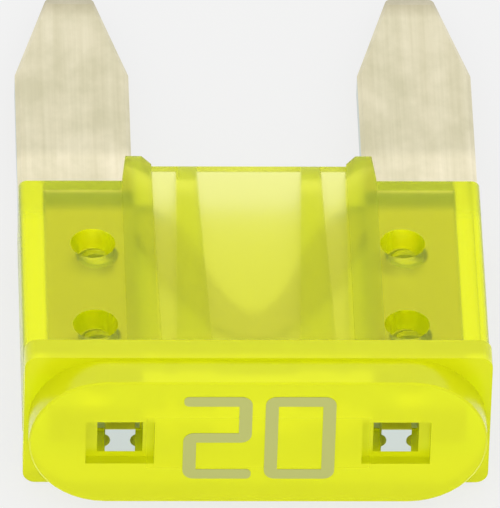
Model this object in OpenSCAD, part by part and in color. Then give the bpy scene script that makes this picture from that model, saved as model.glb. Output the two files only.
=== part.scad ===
// Miniature automotive blade fuse, 20 A size class: a clear moulded housing
// staked over a one-piece stamped zinc element.
// The fuse lies on its back: X runs across it, Y from the head to the blade
// tips, Z up through its thickness. All sizes are in millimetres.

/* [Overall] */
// Width across the outer edges of the two blades
fuse_w = 10.92; // [10.4:0.02:11.6]
// Length from the head's face to the blade tips
fuse_l = 16.3; // [15.5:0.1:18]

/* [Head] */
// Width of the round-ended cap
cap_w = 10.7; // [9.8:0.02:11]
// Thickness of the cap, front to back
cap_t = 3.64; // [3.2:0.02:3.8]
// Height of the cap above the flange
cap_h = 0.82; // [0.4:0.01:1.1]
// Bevel around the edge of the cap's face
cap_bevel = 0.04; // [0.02:0.01:0.15]
// Width of the flange
flange_w = 10.9; // [10.8:0.02:12]
// Thickness of the flange, front to back
flange_t = 3.8; // [3.8:0.02:4.2]
// Height of the flange
flange_h = 0.66; // [0.5:0.01:1.4]
// Corner radius of the flange
flange_r = 0.3; // [0.1:0.05:0.6]

/* [Body] */
// Width of the body under the head
body_w = 10.92; // [10.6:0.02:11.4]
// Thickness of the body
body_t = 2.1; // [1.9:0.05:2.6]
// Length of the body from the head to its mouth beside the blades
body_l = 6.85; // [6:0.01:8]
// Corner radius of the body's long edges
body_r = 0.2; // [0.05:0.05:0.4]
// How far the window walls run past the mouth
tongue_l = 0.54; // [0.2:0.02:1]
// Width of the ridge beside each blade
ridge_w = 0.7; // [0.6:0.02:1]
// How far a ridge laps over the inner edge of its blade
ridge_lap = 0.27; // [0.1:0.01:0.5]
// How far a ridge stands proud of the body's face
ridge_rise = 0.07; // [0.03:0.01:0.2]
// How far the ridges run past the window walls
ridge_l = 0.3; // [0.1:0.02:0.6]
// Length of the sloped corner at a ridge's end, on the window's side
ridge_slope = 0.23; // [0.1:0.01:0.3]
// Length of the sloped corner on the blade's side
ridge_chamfer = 0.09; // [0.03:0.01:0.2]

/* [Chambers] */
// Thickness of the front and back window walls at the mouth
window_wall = 0.34; // [0.3:0.01:0.5]
// How much thicker each window wall is by the closed end
wall_draft = 0.22; // [0.05:0.01:0.3]
// Width of the middle chamber at the mouth
chamber_w = 2.52; // [1.6:0.02:2.8]
// How much each side of the middle chamber leans in by the closed end
chamber_draft = 0.28; // [0.05:0.01:0.3]
// Thickness of each rib beside the middle chamber, at the mouth
rib_w = 0.45; // [0.3:0.01:0.5]
// How much the rib's outer face leans out by the closed end
rib_draft = 0.16; // [0.02:0.01:0.18]
// How much each ridge face leans into its chamber by the closed end
ridge_draft = 0.14; // [0.02:0.01:0.16]
// Gap between the front and back ribs, where the link slides in
link_gap = 0.46; // [0.4:0.02:0.7]
// Distance from the head's face to the closed end of the chambers
chamber_floor = 1.64; // [1.5:0.02:2]

/* [Blades] */
// Width of a blade
blade_w = 2.72; // [2.4:0.02:3]
// Thickness of the blades
blade_t = 0.8; // [0.6:0.05:0.9]
// Length of the tapered end
taper_l = 3.1; // [1.5:0.02:4]
// Width across a blade's tip
tip_w = 1.02; // [0.6:0.02:1.6]
// Corner radius of the tip
tip_r = 0.22; // [0.05:0.01:0.28]
// Bevel along the blade's edges
edge_bevel = 0.11; // [0.04:0.01:0.16]
// Length of the bevels on both faces of a tip
bevel_l = 0.5; // [0.3:0.02:1.2]
// Thickness left at the very tip
tip_t = 0.34; // [0.1:0.02:0.5]

/* [Shanks] */
// Width of a blade's shank inside the body
shank_w = 2.1; // [1.8:0.05:2.2]
// Distance from the head's face to the end of the shanks
shank_top = 1.02; // [0.95:0.01:1.3]
// Width of the test tab at the end of a shank
tab_w = 0.7; // [0.5:0.05:0.9]
// Thickness of the test tab
tab_t = 0.66; // [0.4:0.02:0.76]
// Radius of the groove down each side of the tab
tab_groove_r = 0.2; // [0.1:0.01:0.22]
// How deep the grooves bite into the tab's sides
tab_groove = 0.12; // [0.04:0.01:0.15]
// How far the tab is set in from the blade's inner edge
tab_inset = 0.13; // [0.05:0.01:0.25]
// Depth of the tab's end below the head's face
tab_sink = 0.1; // [0.05:0.01:0.4]

/* [Stakes] */
// Diameter of the stake holes through the shanks
stake_hole_d = 1; // [0.8:0.05:1.1]
// Distance from the blade's inner edge to the middle of its stakes
stake_inset = 0.91; // [0.8:0.01:1.1]
// Distance between the two stake holes of a shank
stake_pitch = 2.96; // [1.6:0.01:3.4]
// Distance from the mouth to the nearer stake hole
stake_back = 2.32; // [1.2:0.01:2.8]
// Diameter of the punched recess at the body's face
punch_d = 1.06; // [0.8:0.02:1.3]
// Diameter of the recess at its floor
punch_floor_d = 0.72; // [0.4:0.02:0.78]
// Depth of the recess
punch_depth = 0.44; // [0.2:0.02:0.46]
// How far the punches hit to the left of the stake holes' middles
punch_off = 0.1; // [0.01:0.01:0.12]
// Diameter of the plastic peg that the punch drives into the stake hole
peg_d = 0.82; // [0.5:0.02:0.9]
// Length of the peg
peg_l = 0.3; // [0.1:0.02:0.34]

/* [Fuse link] */
// Width of the link's roots, where they leave the shanks
link_root_w = 0.9; // [0.6:0.02:1.2]
// Distance from the mouth to the near edge of the roots
link_back = 0.38; // [0.3:0.02:0.8]
// How far the link's inner edge dips from its roots towards the head
link_dip = 3.74; // [3:0.02:4.2]
// Width of the link at the bottom of the dip, where it melts
link_neck_w = 0.88; // [0.4:0.02:1]
// Thickness of the link
link_t = 0.26; // [0.15:0.01:0.36]

/* [Test windows] */
// Width of the square recess around each test window
recess_w = 1.6; // [1.3:0.02:1.8]
// Height of the recess, along the fuse's thickness
recess_t = 1.26; // [1.1:0.02:1.6]
// Depth of the recess
recess_depth = 0.26; // [0.1:0.02:0.5]
// Width of the window inside the recess
test_w = 1.06; // [0.95:0.01:1.2]
// Height of the window, along the fuse's thickness
test_t = 0.94; // [0.9:0.01:1.05]

/* [Fit] */
// Clearance between the element and the housing
clearance = 0.04; // [0.02:0.01:0.06]

/* [Hidden] */
housing_colour = [0.87, 0.93, 0.22];
element_colour = [0.82, 0.8, 0.72];
arc_fn = 48;      // facets that a full circle is drawn with
link_steps = 18;  // straight pieces in each half of the link's edges
corner_steps = 5; // straight pieces in a blade tip's corners
over = 0.5;       // how far a cutter runs past what it cuts
bite = 0.05;      // how far added features sink into their carrier

head_h = cap_h + flange_h;
cap_end_x = cap_w / 2 - cap_t / 2; // where the cap's straight middle stops
mouth = head_h + body_l;            // the body's open end beside the blades
tongue_end = mouth + tongue_l;
ridge_end = tongue_end + ridge_l;

blade_out = fuse_w / 2;
blade_in = blade_out - blade_w;
blade_mid = (blade_in + blade_out) / 2;
taper_start = fuse_l - taper_l;
taper_angle = atan((blade_w - tip_w) / 2 / taper_l);
tip_inset = tip_r * tan((90 - taper_angle) / 2);
shank_out = blade_in + shank_w;
tab_in = blade_in + tab_inset;
tab_mid = tab_in + tab_w / 2;

ridge_out = blade_in + ridge_lap;
ridge_in = ridge_out - ridge_w;
rib_in = chamber_w / 2;
rib_out = rib_in + rib_w;

stake_mid = blade_in + stake_inset;
stake_places = [for (i = [0, 1]) mouth - stake_back - i * stake_pitch];
slot_t = blade_t + 2 * clearance;
chambers_open = tongue_end + over;
open_t = body_t - 2 * window_wall;
floor_t = open_t - 2 * wall_draft;

// The link's inner edge is level at the roots and swings down and up between
// the ridges. Its outer edge is one bow from root to root.
root_near = mouth - link_back;
root_far = root_near - link_root_w;
neck_far = root_near - link_dip - link_neck_w;
function link_inner(x) =
    root_near - link_dip * (1 + cos(180 * min(1, abs(x) / ridge_in))) / 2;
function link_outer(x) = neck_far + (root_far - neck_far) * pow(x / blade_in, 2);

// Lays a flat section, drawn in X and Z, along Y from y0 to y1.
module along_y(y0, y1) {
    translate([0, y0, 0])
        rotate([-90, 0, 0])
            linear_extrude(y1 - y0) children();
}

// Thickens a plan, drawn in X and Y, evenly about the middle plane.
module thick(t) {
    translate([0, 0, -t / 2]) linear_extrude(t) children();
}

// Repeats its child on the left and on the right of the fuse.
module both_sides() {
    children();
    mirror([1, 0, 0]) children();
}

module round_rect(w, h, r) {
    square([w - 2 * r, h], center = true);
    square([w, h - 2 * r], center = true);
    for (x = [-1, 1], y = [-1, 1])
        translate([x * (w / 2 - r), y * (h / 2 - r)]) circle(r, $fn = arc_fn);
}

// ---- the stamped element ----

// The rounded corner between a blade's tapered side (-1 inner, 1 outer) and its end.
function tip_corner(side) = [
    for (i = [0 : corner_steps])
        let (a = taper_angle + (90 - taper_angle) * i / corner_steps)
        [blade_mid + side * (tip_w / 2 - tip_inset + tip_r * cos(a)),
         fuse_l - tip_r + tip_r * sin(a)]
];
function backwards(points) = [for (i = [len(points) - 1 : -1 : 0]) points[i]];

module blade_plan() {
    polygon(concat(
        [[blade_in, shank_top], [blade_in, taper_start]],
        tip_corner(-1), backwards(tip_corner(1)),
        [[blade_out, taper_start], [blade_out, mouth + clearance],
         [shank_out, mouth + clearance], [shank_out, shank_top]]
    ));
}

module tab() {
    difference() {
        thick(tab_t)
            translate([tab_in, tab_sink]) square([tab_w, shank_top + bite - tab_sink]);
        for (side = [-1, 1])
            translate([tab_mid + side * (tab_w / 2 + tab_groove_r - tab_groove), 0, 0])
                rotate([-90, 0, 0])
                    cylinder(h = shank_top - bite, r = tab_groove_r, $fn = arc_fn);
    }
}

// Cuts the bevel along one straight edge of a blade, on both faces.
module bevel_cut(from, to) {
    side = edge_bevel * sqrt(2);
    for (face = [-1, 1])
        translate([from.x, from.y, face * blade_t / 2])
            rotate([0, 0, atan2(to.y - from.y, to.x - from.x)])
                rotate([45, 0, 0])
                    translate([-bite, -side / 2, -side / 2])
                        cube([norm(to - from) + over, side, side]);
}

// Side view of a blade: full thickness, with a bevel on each face at the tip.
module blade_profile() {
    polygon([
        [0, -blade_t / 2], [fuse_l - bevel_l, -blade_t / 2],
        [fuse_l, -tip_t / 2], [fuse_l, tip_t / 2],
        [fuse_l - bevel_l, blade_t / 2], [0, blade_t / 2]
    ]);
}

module blade() {
    difference() {
        intersection() {
            thick(blade_t) blade_plan();
            // the profile is drawn in Y and Z and swept across X
            rotate([90, 0, 90]) linear_extrude(fuse_w) blade_profile();
        }
        for (y = stake_places)
            translate([stake_mid, y, -blade_t])
                cylinder(h = 2 * blade_t, d = stake_hole_d, $fn = arc_fn);
        bevel_cut([blade_in, mouth], [blade_in, taper_start]);
        bevel_cut([blade_out, mouth], [blade_out, taper_start]);
        bevel_cut([blade_in, taper_start], [blade_mid - tip_w / 2, fuse_l]);
        bevel_cut([blade_out, taper_start], [blade_mid + tip_w / 2, fuse_l]);
    }
    tab();
}

// The link is a deep U from shank to shank, narrowest at the bottom.
module link_plan() {
    reach = blade_in + bite;
    steps = [for (i = [-link_steps : link_steps]) i * reach / link_steps];
    polygon(concat(
        [for (x = steps) [x, link_outer(x)]],
        [for (i = [len(steps) - 1 : -1 : 0]) [steps[i], link_inner(steps[i])]]
    ));
}

module fuse_element() {
    color(element_colour) {
        both_sides() blade();
        thick(link_t) link_plan();
    }
}

// ---- the moulded housing ----

// A half-round end of the cap, beveled around its near edge.
module cap_end() {
    translate([cap_end_x, 0, 0])
        rotate([-90, 0, 0]) {
            cylinder(h = cap_bevel, r1 = cap_t / 2 - cap_bevel, r2 = cap_t / 2,
                $fn = 2 * arc_fn);
            translate([0, 0, cap_bevel])
                cylinder(h = cap_h - cap_bevel, r = cap_t / 2, $fn = 2 * arc_fn);
        }
}

// Straight middle of the cap, with the same bevel along its long edges.
module cap_middle() {
    translate([-cap_end_x, 0, 0])
        rotate([90, 0, 90])
            linear_extrude(2 * cap_end_x)
                polygon([
                    [0, cap_bevel - cap_t / 2], [cap_bevel, -cap_t / 2],
                    [cap_h, -cap_t / 2], [cap_h, cap_t / 2],
                    [cap_bevel, cap_t / 2], [0, cap_t / 2 - cap_bevel]
                ]);
}

module cap() {
    cap_middle();
    both_sides() cap_end();
}

module flange() {
    along_y(cap_h, head_h) round_rect(flange_w, flange_t, flange_r);
}

module body() {
    along_y(head_h, mouth) round_rect(body_w, body_t, body_r);
}

// The walls over the chambers, which run on between the ridges.
module tongue() {
    thick(body_t)
        translate([-ridge_in - bite, head_h])
            square([2 * (ridge_in + bite), tongue_end - head_h]);
}

module ridge() {
    thick(body_t + 2 * ridge_rise)
        polygon([
            [ridge_in, head_h], [ridge_in, tongue_end],
            [ridge_in + ridge_slope, ridge_end], [ridge_out - ridge_chamfer, ridge_end],
            [ridge_out, mouth], [ridge_out, head_h]
        ]);
}

// Three wells that narrow towards the head, in width and in thickness.
module chambers() {
    intersection() {
        thick(body_t) {
            polygon([
                [-rib_in, chambers_open], [chamber_draft - rib_in, chamber_floor],
                [rib_in - chamber_draft, chamber_floor], [rib_in, chambers_open]
            ]);
            both_sides()
                polygon([
                    [rib_out, chambers_open], [rib_out + rib_draft, chamber_floor],
                    [ridge_in - ridge_draft, chamber_floor], [ridge_in, chambers_open]
                ]);
        }
        // the section is drawn in Y and Z and swept across X
        rotate([90, 0, 90])
            linear_extrude(2 * blade_in, center = true)
                polygon([
                    [chamber_floor, -floor_t / 2], [chambers_open, -open_t / 2],
                    [chambers_open, open_t / 2], [chamber_floor, floor_t / 2]
                ]);
    }
}

// Room for the link, which slides in from the mouth between the ribs.
module link_slot() {
    thick(link_gap)
        translate([-blade_in, chamber_floor])
            square([2 * blade_in, ridge_end + over - chamber_floor]);
}

// Room for a shank, and for the full blade width beside the ridge's end.
module blade_slot() {
    thick(slot_t) {
        translate([blade_in - clearance, shank_top - clearance])
            square([shank_w + 2 * clearance, ridge_end + over - shank_top]);
        translate([blade_in - clearance, mouth])
            square([blade_w, ridge_end + over - mouth]);
    }
}

module test_window() {
    translate([tab_mid - recess_w / 2, -over, -recess_t / 2])
        cube([recess_w, over + recess_depth, recess_t]);
    translate([tab_mid - test_w / 2, -over, -test_t / 2])
        cube([test_w, over + shank_top, test_t]);
}

module punch_recess() {
    translate([-punch_off, 0, body_t / 2 - punch_depth])
        cylinder(h = punch_depth, d1 = punch_floor_d, d2 = punch_d, $fn = arc_fn);
}

module peg() {
    translate([0, 0, slot_t / 2 - peg_l])
        cylinder(h = peg_l + bite, d = peg_d, $fn = arc_fn);
}

// Repeats its child at every stake, on the front face and on the back.
module at_stakes() {
    for (side = [-1, 1], y = stake_places, face = [0, 1])
        translate([side * stake_mid, y, 0]) mirror([0, 0, face]) children();
}

module housing() {
    color(housing_colour) {
        difference() {
            union() {
                cap();
                flange();
                body();
                tongue();
                both_sides() ridge();
            }
            chambers();
            link_slot();
            both_sides() {
                blade_slot();
                test_window();
            }
            at_stakes() punch_recess();
        }
        at_stakes() peg();
    }
}

// The origin is under the middle of the fuse, on the surface that it lies on.
module lie_on_back() {
    translate([0, -fuse_l / 2, flange_t / 2]) children();
}

lie_on_back() housing();
lie_on_back() fuse_element();
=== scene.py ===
import math

import bmesh
import bpy
from mathutils import Matrix, Vector


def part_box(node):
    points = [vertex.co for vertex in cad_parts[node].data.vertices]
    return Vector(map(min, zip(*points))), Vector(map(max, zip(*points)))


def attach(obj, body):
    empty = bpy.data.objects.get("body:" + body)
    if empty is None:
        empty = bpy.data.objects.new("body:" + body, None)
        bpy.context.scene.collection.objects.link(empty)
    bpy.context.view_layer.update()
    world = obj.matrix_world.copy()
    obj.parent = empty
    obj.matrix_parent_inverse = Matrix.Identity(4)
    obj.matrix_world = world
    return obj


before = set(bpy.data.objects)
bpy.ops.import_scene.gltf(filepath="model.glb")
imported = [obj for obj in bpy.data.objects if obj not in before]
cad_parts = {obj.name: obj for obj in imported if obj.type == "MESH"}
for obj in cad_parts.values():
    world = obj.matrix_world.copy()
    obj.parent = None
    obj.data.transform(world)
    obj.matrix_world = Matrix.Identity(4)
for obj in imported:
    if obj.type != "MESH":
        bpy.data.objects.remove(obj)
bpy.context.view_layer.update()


# ---- Housing ----
# One injection moulding in clear yellow nylon: a thick milky head, and a see-through
# body with three chambers, ribs between them and ridges that lap over the blades.

mm = 0.001
housing_low, housing_high = (Vector(corner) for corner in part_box("housing"))
mid_z = (housing_low.z + housing_high.z) / 2

# along the fuse: where the head turns clear, and between which ends the ribs narrow
head_end = housing_low.y + 1.48 * mm
clear_from = head_end + 0.06 * mm
chamber_floor = housing_low.y + 1.64 * mm
chamber_mouth = housing_low.y + 8.87 * mm

# across it and through its thickness, from the middle
chambers_half_width, chambers_half_depth = 2.6 * mm, 0.76 * mm
rib_middle = 1.455 * mm
rib_half_at_floor, rib_half_at_mouth = 0.445 * mm, 0.225 * mm
ridge_middle, ridge_half = 2.66 * mm, 0.35 * mm

polished, dull_finish = 0.26, 0.42
milky, clear = 0.35, 1.0
# where the painted shade over the ribs and ridges reaches its full strength
rib_shade_full_from = head_end + 4.4 * mm
light_bounces, mirror_bounces = 32, 16


def linear(hex_colour):
    """The linear RGBA of an sRGB colour written as six hex digits."""
    channels = [int(hex_colour[i:i + 2], 16) / 255 for i in (0, 2, 4)]
    return tuple(
        c / 12.92 if c <= 0.04045 else ((c + 0.055) / 1.055) ** 2.4 for c in channels
    ) + (1.0,)


def add_node(tree, kind, settings=(), links=()):
    """Adds a node. settings are {socket or property: value}, links {socket: output}."""
    node = tree.nodes.new(kind)
    for name, value in dict(settings).items():
        if isinstance(name, int) or name in node.inputs:
            node.inputs[name].default_value = value
        else:
            setattr(node, name, value)
    for name, output in dict(links).items():
        tree.links.new(output, node.inputs[name])
    return node


def new_material(name):
    """An empty node material, with its tree and its output node."""
    material = bpy.data.materials.new(name)
    material.use_nodes = True
    tree = material.node_tree
    tree.nodes.clear()
    return material, tree, tree.nodes.new("ShaderNodeOutputMaterial")


def clear_yellow_nylon():
    # Clear PA66, dyed yellow and injection moulded. It takes the blue out of the light,
    # and a little of the red. The outer faces are polished, and the chamber walls and
    # the faces over the ribs and ridges are duller.
    material, tree, output = new_material("clear_yellow_nylon")
    place = add_node(tree, "ShaderNodeTexCoord")
    axes = add_node(tree, "ShaderNodeSeparateXYZ", {}, {
        "Vector": place.outputs["Object"]})
    across = add_node(tree, "ShaderNodeMath", {"operation": "ABSOLUTE"}, {
        0: axes.outputs["X"]})
    height = add_node(tree, "ShaderNodeMath", {"operation": "SUBTRACT", 1: mid_z}, {
        0: axes.outputs["Z"]})
    depth = add_node(tree, "ShaderNodeMath", {"operation": "ABSOLUTE"}, {
        0: height.outputs[0]})
    body = add_node(tree, "ShaderNodeMapRange", {
        "From Min": head_end, "From Max": clear_from}, {"Value": axes.outputs["Y"]})

    # 1 on the walls inside the chambers, 0 elsewhere
    deep = add_node(tree, "ShaderNodeMath", {
        "operation": "LESS_THAN", 1: chambers_half_depth}, {0: depth.outputs[0]})
    central = add_node(tree, "ShaderNodeMath", {
        "operation": "LESS_THAN", 1: chambers_half_width}, {0: across.outputs[0]})
    chamber = add_node(tree, "ShaderNodeMath", {"operation": "MULTIPLY"}, {
        0: deep.outputs[0], 1: central.outputs[0]})

    # 1 over the ribs, which widen towards the head, and over the ridges: both are solid
    # right through the body
    rib_place = add_node(tree, "ShaderNodeMath", {
        "operation": "SUBTRACT", 1: rib_middle}, {0: across.outputs[0]})
    rib_offset = add_node(tree, "ShaderNodeMath", {"operation": "ABSOLUTE"}, {
        0: rib_place.outputs[0]})
    rib_half = add_node(tree, "ShaderNodeMapRange", {
        "From Min": chamber_floor, "From Max": chamber_mouth,
        "To Min": rib_half_at_floor, "To Max": rib_half_at_mouth,
    }, {"Value": axes.outputs["Y"]})
    rib = add_node(tree, "ShaderNodeMath", {"operation": "LESS_THAN"}, {
        0: rib_offset.outputs[0], 1: rib_half.outputs["Result"]})
    ridge_place = add_node(tree, "ShaderNodeMath", {
        "operation": "SUBTRACT", 1: ridge_middle}, {0: across.outputs[0]})
    ridge_offset = add_node(tree, "ShaderNodeMath", {"operation": "ABSOLUTE"}, {
        0: ridge_place.outputs[0]})
    ridge = add_node(tree, "ShaderNodeMath", {"operation": "LESS_THAN", 1: ridge_half}, {
        0: ridge_offset.outputs[0]})
    rib_or_ridge = add_node(tree, "ShaderNodeMath", {"operation": "MAXIMUM"}, {
        0: rib.outputs[0], 1: ridge.outputs[0]})
    solid = add_node(tree, "ShaderNodeMath", {"operation": "MULTIPLY"}, {
        0: rib_or_ridge.outputs[0], 1: body.outputs["Result"]})
    dull = add_node(tree, "ShaderNodeMath", {"operation": "MAXIMUM"}, {
        0: solid.outputs[0], 1: chamber.outputs[0]})
    roughness = add_node(tree, "ShaderNodeMapRange", {
        "To Min": polished, "To Max": dull_finish}, {"Value": dull.outputs[0]})

    # painted shade: the outer faces over the ribs and ridges are tinted darker than the
    # windows, for the shade seen through them, but less so near the head, which glows
    outer = add_node(tree, "ShaderNodeMath", {"operation": "SUBTRACT", "use_clamp": True}, {
        0: solid.outputs[0], 1: chamber.outputs[0]})
    from_head = add_node(tree, "ShaderNodeMapRange", {
        "From Min": head_end, "From Max": rib_shade_full_from}, {"Value": axes.outputs["Y"]})
    painted_rib_shade = add_node(tree, "ShaderNodeMath", {"operation": "MULTIPLY"}, {
        0: outer.outputs[0], 1: from_head.outputs["Result"]})
    body_colour_and_shade = add_node(tree, "ShaderNodeMix", {
        "data_type": "RGBA", 6: linear("FFFFFF"), 7: linear("F7FBEC"),
    }, {0: painted_rib_shade.outputs[0]})
    colour = add_node(tree, "ShaderNodeMix", {
        "data_type": "RGBA", 6: linear("EEF214"),
    }, {0: body.outputs["Result"], 7: body_colour_and_shade.outputs[2]})
    clarity = add_node(tree, "ShaderNodeMapRange", {
        "To Min": milky, "To Max": clear}, {"Value": body.outputs["Result"]})

    skin = add_node(tree, "ShaderNodeBsdfPrincipled", {
        "IOR": 1.53, "Specular Tint": linear("FFFFA0"),
    }, {
        "Base Color": colour.outputs[2],
        "Roughness": roughness.outputs["Result"],
        "Transmission Weight": clarity.outputs["Result"],
    })
    # the dye: the red and green that it lets pass are too near 1 to write in hex
    dye = add_node(tree, "ShaderNodeVolumeAbsorption", {
        "Color": (0.990, 0.999, 0.004, 1), "Density": 2700.0,
    })
    # light that crosses the plastic still reaches the metal and the table
    ray = add_node(tree, "ShaderNodeLightPath")
    passed = add_node(tree, "ShaderNodeBsdfTransparent", {"Color": linear("FDFDC0")})
    mix = add_node(tree, "ShaderNodeMixShader", {}, {
        0: ray.outputs["Is Shadow Ray"],
        1: skin.outputs["BSDF"], 2: passed.outputs["BSDF"]})
    tree.links.new(mix.outputs["Shader"], output.inputs["Surface"])
    tree.links.new(dye.outputs["Volume"], output.inputs["Volume"])
    return material


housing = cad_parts["housing"]
housing.data.materials.clear()
housing.data.materials.append(clear_yellow_nylon())

# light crosses many walls of the housing before it leaves
cycles = bpy.context.scene.cycles
cycles.max_bounces = cycles.transmission_bounces = light_bounces
cycles.glossy_bounces = mirror_bounces


# ---- Fuse element ----
# One stamping from tinned zinc strip: two tapered blades, with their shanks and test
# tabs, and the link that joins them. The housing's stakes hold it.

blades_low, blades_high = (Vector(corner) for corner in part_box("fuse_element"))
body_mouth = housing_low.y + 8.33 * mm
link_half_width = 2.735 * mm  # it lies between the blades' inner edges
streak_width, streak_length = 0.16 * mm, 9 * mm
patch_width, patch_length = 1.3 * mm, 1.8 * mm
cut_face_limit = 0.35  # a face whose normal has less than this upwards is a cut edge


def tinned_zinc():
    # Zinc strip with a tin skin, rolled lengthwise and then stamped. The rolling left
    # fine streaks along the blades, and the tin has a warm, half-dull look.
    material, tree, output = new_material("tinned_zinc")
    place = add_node(tree, "ShaderNodeTexCoord")
    streak_size = add_node(tree, "ShaderNodeMapping", {
        "Scale": (1 / streak_width, 1 / streak_length, 1 / streak_width),
    }, {"Vector": place.outputs["Object"]})
    streaks = add_node(tree, "ShaderNodeTexNoise", {
        "Scale": 1.0, "Detail": 4.0, "Roughness": 0.65,
    }, {"Vector": streak_size.outputs["Vector"]})
    rolled = add_node(tree, "ShaderNodeValToRGB", {}, {"Fac": streaks.outputs["Fac"]})
    rolled.color_ramp.elements[0].position = 0.3
    rolled.color_ramp.elements[0].color = linear("F1E8C9")
    rolled.color_ramp.elements[1].position = 0.7
    rolled.color_ramp.elements[1].color = linear("FEF5D9")

    # soft cloudy patches in the tin
    patch_size = add_node(tree, "ShaderNodeMapping", {
        "Scale": (1 / patch_width, 1 / patch_length, 1 / patch_width),
    }, {"Vector": place.outputs["Object"]})
    patches = add_node(tree, "ShaderNodeTexNoise", {
        "Scale": 1.0, "Detail": 5.0, "Roughness": 0.6,
    }, {"Vector": patch_size.outputs["Vector"]})
    cloud = add_node(tree, "ShaderNodeValToRGB", {}, {"Fac": patches.outputs["Fac"]})
    cloud.color_ramp.elements[0].position = 0.36
    cloud.color_ramp.elements[0].color = linear("EDEEE8")
    cloud.color_ramp.elements[1].position = 0.62
    cloud.color_ramp.elements[1].color = linear("FFFFFF")
    tinned = add_node(tree, "ShaderNodeVectorMath", {"operation": "MULTIPLY"}, {
        0: rolled.outputs["Color"], 1: cloud.outputs["Color"]})

    # painted light: under the plastic the strip is plain and light, and the thin link
    # lighter still, for the light that reaches the metal through the plastic. The edges
    # that the die cut are cool, fresh metal
    axes = add_node(tree, "ShaderNodeSeparateXYZ", {}, {
        "Vector": place.outputs["Object"]})
    across = add_node(tree, "ShaderNodeMath", {"operation": "ABSOLUTE"}, {
        0: axes.outputs["X"]})
    link = add_node(tree, "ShaderNodeMath", {
        "operation": "LESS_THAN", 1: link_half_width}, {0: across.outputs[0]})
    facing = add_node(tree, "ShaderNodeSeparateXYZ", {}, {
        "Vector": place.outputs["Normal"]})
    flatness = add_node(tree, "ShaderNodeMath", {"operation": "ABSOLUTE"}, {
        0: facing.outputs["Z"]})
    cut_edge = add_node(tree, "ShaderNodeMath", {
        "operation": "LESS_THAN", 1: cut_face_limit}, {0: flatness.outputs[0]})
    inside = add_node(tree, "ShaderNodeMath", {
        "operation": "LESS_THAN", 1: body_mouth}, {0: axes.outputs["Y"]})
    covered = add_node(tree, "ShaderNodeMix", {
        "data_type": "RGBA", 7: linear("EBE9A8"),
    }, {0: inside.outputs[0], 6: tinned.outputs["Vector"]})
    strip = add_node(tree, "ShaderNodeMix", {
        "data_type": "RGBA", 7: linear("F6F4EC"),
    }, {0: link.outputs[0], 6: covered.outputs[2]})
    fresh_cut = add_node(tree, "ShaderNodeMath", {"operation": "SUBTRACT"}, {
        0: cut_edge.outputs[0], 1: link.outputs[0]})
    fresh = add_node(tree, "ShaderNodeMix", {
        "data_type": "RGBA", 7: linear("D4DDD8"),
    }, {0: fresh_cut.outputs[0], 6: strip.outputs[2]})

    # the tone along the strip, by the share of its length from the head's end
    tone_stops = [
        (0.0, "FFFFFF"), (0.462, "FFFFFF"),    # inside the housing, kept at full brightness: painted light
        (0.482, "C0CEC0"), (0.506, "B8CABA"),  # just inside its mouth: a painted shadow of the mouth's edge
        (0.509, "FFFFFF"), (0.610, "FFFFFF"),  # lighter next to the mouth
        (0.634, "EEEFED"), (0.938, "EEEFED"),  # the blades
        (0.972, "D6D5CF"), (1.0, "CAC9C3"),    # their dull, worn tips
    ]
    along = add_node(tree, "ShaderNodeMapRange", {
        "From Min": blades_low.y, "From Max": blades_high.y,
    }, {"Value": axes.outputs["Y"]})
    tone = add_node(tree, "ShaderNodeValToRGB", {}, {"Fac": along.outputs["Result"]})
    for position, _ in tone_stops[1:-1]:
        tone.color_ramp.elements.new(position)
    for stop, (position, hex_colour) in zip(tone.color_ramp.elements, tone_stops):
        stop.position = position
        stop.color = linear(hex_colour)
    toned = add_node(tree, "ShaderNodeVectorMath", {"operation": "MULTIPLY"}, {
        0: fresh.outputs[2], 1: tone.outputs["Color"]})
    metal = add_node(tree, "ShaderNodeBsdfPrincipled", {
        "Metallic": 1.0, "Roughness": 0.42,
    }, {"Base Color": toned.outputs["Vector"]})
    tree.links.new(metal.outputs["BSDF"], output.inputs["Surface"])
    return material


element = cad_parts["fuse_element"]
element.data.materials.clear()
element.data.materials.append(tinned_zinc())


# ---- Rating print ----
# The number 20 in silver-grey ink, pad printed on the head's end face. Each digit is
# a grid whose cells are the strokes, with its outer corners rounded.

ink_thickness = 0.012 * mm
ink_sink = ink_thickness / 4
upright, bar = 0.30 * mm, 0.28 * mm
digit_height = 2.48 * mm
corner_radius, end_radius = 0.25 * mm, 0.11 * mm
corner_segments = 6
columns, rows = 3, 5
print_centre_z = mid_z + 0.167 * mm
same_place = 0.001 * mm


def printing_ink():
    # Silver-grey pad-printing ink, thin enough to take some of the plastic's yellow.
    material, tree, output = new_material("printing_ink")
    ink = add_node(tree, "ShaderNodeBsdfPrincipled", {
        "Base Color": linear("B3B766"), "Roughness": 0.5,
    })
    tree.links.new(ink.outputs["BSDF"], output.inputs["Surface"])
    return material


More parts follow.
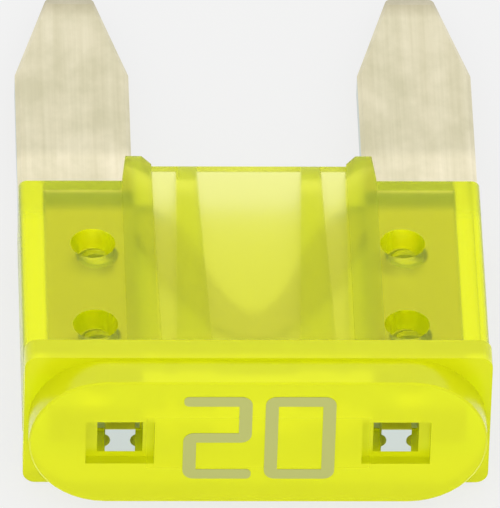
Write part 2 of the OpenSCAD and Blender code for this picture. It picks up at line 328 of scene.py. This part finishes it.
def print_digit(name, left, width, gaps, round_corners, stroke_ends, material):
    """A digit from a grid of cells. gaps are the cells without ink, round_corners and
    stroke_ends the grid corners to round, all as (column, row) from the lower left."""
    bpy.ops.object.select_all(action="DESELECT")
    bpy.ops.mesh.primitive_grid_add(x_subdivisions=columns, y_subdivisions=rows, size=1)
    digit = bpy.context.active_object
    digit.name = name
    bpy.ops.object.mode_set(mode="EDIT")
    mesh = bmesh.from_edit_mesh(digit.data)
    for face in mesh.faces:
        centre = face.calc_center_median()
        cell = (int((centre.x + 0.5) * columns), int((centre.y + 0.5) * rows))
        face.select_set(cell in gaps)
    bmesh.update_edit_mesh(digit.data)
    bpy.ops.mesh.delete(type="FACE")

    # the grid's lines move to the edges of the strokes, on the end face
    across = [0, upright, width - upright, width]
    up = [0, bar, (digit_height - bar) / 2, (digit_height + bar) / 2,
          digit_height - bar, digit_height]
    mesh = bmesh.from_edit_mesh(digit.data)
    places = {}
    for vertex in mesh.verts:
        column = round((vertex.co.x + 0.5) * columns)
        row = round((vertex.co.y + 0.5) * rows)
        vertex.co = (left + across[column],
                     housing_low.y - ink_sink,
                     print_centre_z + up[row] - digit_height / 2)
        places[column, row] = vertex.co.copy()
    bmesh.update_edit_mesh(digit.data)

    bpy.ops.mesh.select_mode(type="VERT")
    for corners, radius in ((round_corners, corner_radius), (stroke_ends, end_radius)):
        if corners:
            bpy.ops.mesh.select_all(action="DESELECT")
            mesh = bmesh.from_edit_mesh(digit.data)
            for vertex in mesh.verts:
                vertex.select_set(any(
                    (vertex.co - places[corner]).length < same_place
                    for corner in corners))
            bmesh.update_edit_mesh(digit.data)
            bpy.ops.mesh.bevel(
                offset=radius, segments=corner_segments, affect="VERTICES")
    bpy.ops.object.mode_set(mode="OBJECT")

    ink_layer = digit.modifiers.new("ink_layer", "SOLIDIFY")
    ink_layer.thickness = ink_thickness
    ink_layer.offset = 1
    bpy.ops.object.modifier_apply(modifier="ink_layer")
    digit.data.materials.append(material)
    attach(digit, "root")


rating_ink = printing_ink()
print_digit(
    "rating_digit_2", left=-1.75 * mm, width=1.59 * mm,
    gaps={(0, 3), (1, 3), (1, 1), (2, 1)},
    round_corners={(0, 0), (3, 2), (0, 3), (3, 5)},
    stroke_ends={(3, 0), (3, 1), (0, 4), (0, 5)},
    material=rating_ink)
print_digit(
    "rating_digit_0", left=0.15 * mm, width=1.64 * mm,
    gaps={(1, 1), (1, 2), (1, 3)},
    round_corners={(0, 0), (3, 0), (0, 5), (3, 5)},
    stroke_ends=set(),
    material=rating_ink)


# ---- Table ----
# A plain pale surface. The fuse lies with the edge of its head and its blade tips on
# it, so in the fuse's own frame the table slopes.

table_size = 1.2
tip_contact = 0.5 * mm
plain_share = 0.85


def pale_table():
    # White paper. The camera sees most of it at its own plain white, so that only a
    # faint shadow shows on it. The plastic and the metal see it pure white.
    material, tree, output = new_material("pale_table")
    board = add_node(tree, "ShaderNodeBsdfDiffuse", {"Color": linear("F2F2F2")})
    seen = add_node(tree, "ShaderNodeEmission", {
        "Color": linear("F2F2F2"), "Strength": 1.0})
    mirrored = add_node(tree, "ShaderNodeEmission", {
        "Color": linear("FFFFFF"), "Strength": 1.0})
    ray = add_node(tree, "ShaderNodeLightPath")
    share = add_node(tree, "ShaderNodeMath", {"operation": "MULTIPLY", 1: plain_share}, {
        0: ray.outputs["Is Camera Ray"]})
    paper = add_node(tree, "ShaderNodeMixShader", {}, {
        0: share.outputs["Value"],
        1: board.outputs["BSDF"], 2: seen.outputs["Emission"]})
    through = add_node(tree, "ShaderNodeMath", {"operation": "MAXIMUM"}, {
        0: ray.outputs["Is Transmission Ray"], 1: ray.outputs["Is Glossy Ray"]})
    mix = add_node(tree, "ShaderNodeMixShader", {}, {
        0: through.outputs["Value"],
        1: paper.outputs["Shader"], 2: mirrored.outputs["Emission"]})
    tree.links.new(mix.outputs["Shader"], output.inputs["Surface"])
    return material


head_edge = Vector((0, head_end, 0))
tip_edge = Vector((0, blades_high.y - tip_contact, blades_low.z))
slope = math.atan2(tip_edge.z - head_edge.z, tip_edge.y - head_edge.y)
bpy.ops.mesh.primitive_plane_add(size=table_size, location=head_edge)
table = bpy.context.active_object
table.name = "table"
table.rotation_euler = (slope, 0, 0)
table.data.materials.append(pale_table())


# ---- Light ----
# A light tent: soft white light from all around, and one weak soft box in front of
# the head and a little above it.

world = bpy.data.worlds.new("light_tent")
bpy.context.scene.world = world
world.use_nodes = True
tent = world.node_tree.nodes["Background"]
tent.inputs["Color"].default_value = (1, 1, 1, 1)
tent.inputs["Strength"].default_value = 1.0

lamp_place = Vector((0.0, -0.37, 0.12))
lamp = bpy.data.lights.new("front_soft_box", "AREA")
lamp.shape = "SQUARE"
lamp.size = 0.24
lamp.energy = 0.24
soft_box = bpy.data.objects.new("front_soft_box", lamp)
bpy.context.collection.objects.link(soft_box)
soft_box.location = lamp_place
soft_box.rotation_euler = (-lamp_place).to_track_quat("-Z", "Y").to_euler()


# ---- Camera ----
# A long lens from the head's end, looking down on the front. It aims at the middle
# plane of the body, then moves a little up and left to frame the fuse.

azimuth, elevation, roll = (math.radians(a) for a in (-2.859, 39.711, 1.909))
distance = 361.86 * mm
focal_length, sensor_width = 1086.7, 36.0
aim_along = 6.066 * mm
move_up, move_left = 0.527 * mm, 0.02 * mm

back = Vector((math.sin(azimuth) * math.cos(elevation),
               -math.cos(azimuth) * math.cos(elevation), math.sin(elevation)))
side = Vector((math.cos(azimuth), math.sin(azimuth), 0))
up = back.cross(side)
camera_x = side * math.cos(roll) + up * math.sin(roll)
camera_y = up * math.cos(roll) - side * math.sin(roll)
aim = Vector((0, housing_low.y + aim_along, mid_z))
aim += camera_y * move_up - camera_x * move_left

camera_data = bpy.data.cameras.new("camera")
camera_data.lens = focal_length
camera_data.sensor_width = sensor_width
camera = bpy.data.objects.new("camera", camera_data)
bpy.context.collection.objects.link(camera)
camera.matrix_world = Matrix((
    (camera_x.x, camera_y.x, back.x, 0),
    (camera_x.y, camera_y.y, back.y, 0),
    (camera_x.z, camera_y.z, back.z, 0),
    (0, 0, 0, 1)))
camera.location = aim + back * distance
bpy.context.scene.camera = camera

bpy.context.scene.view_settings.view_transform = "Standard"
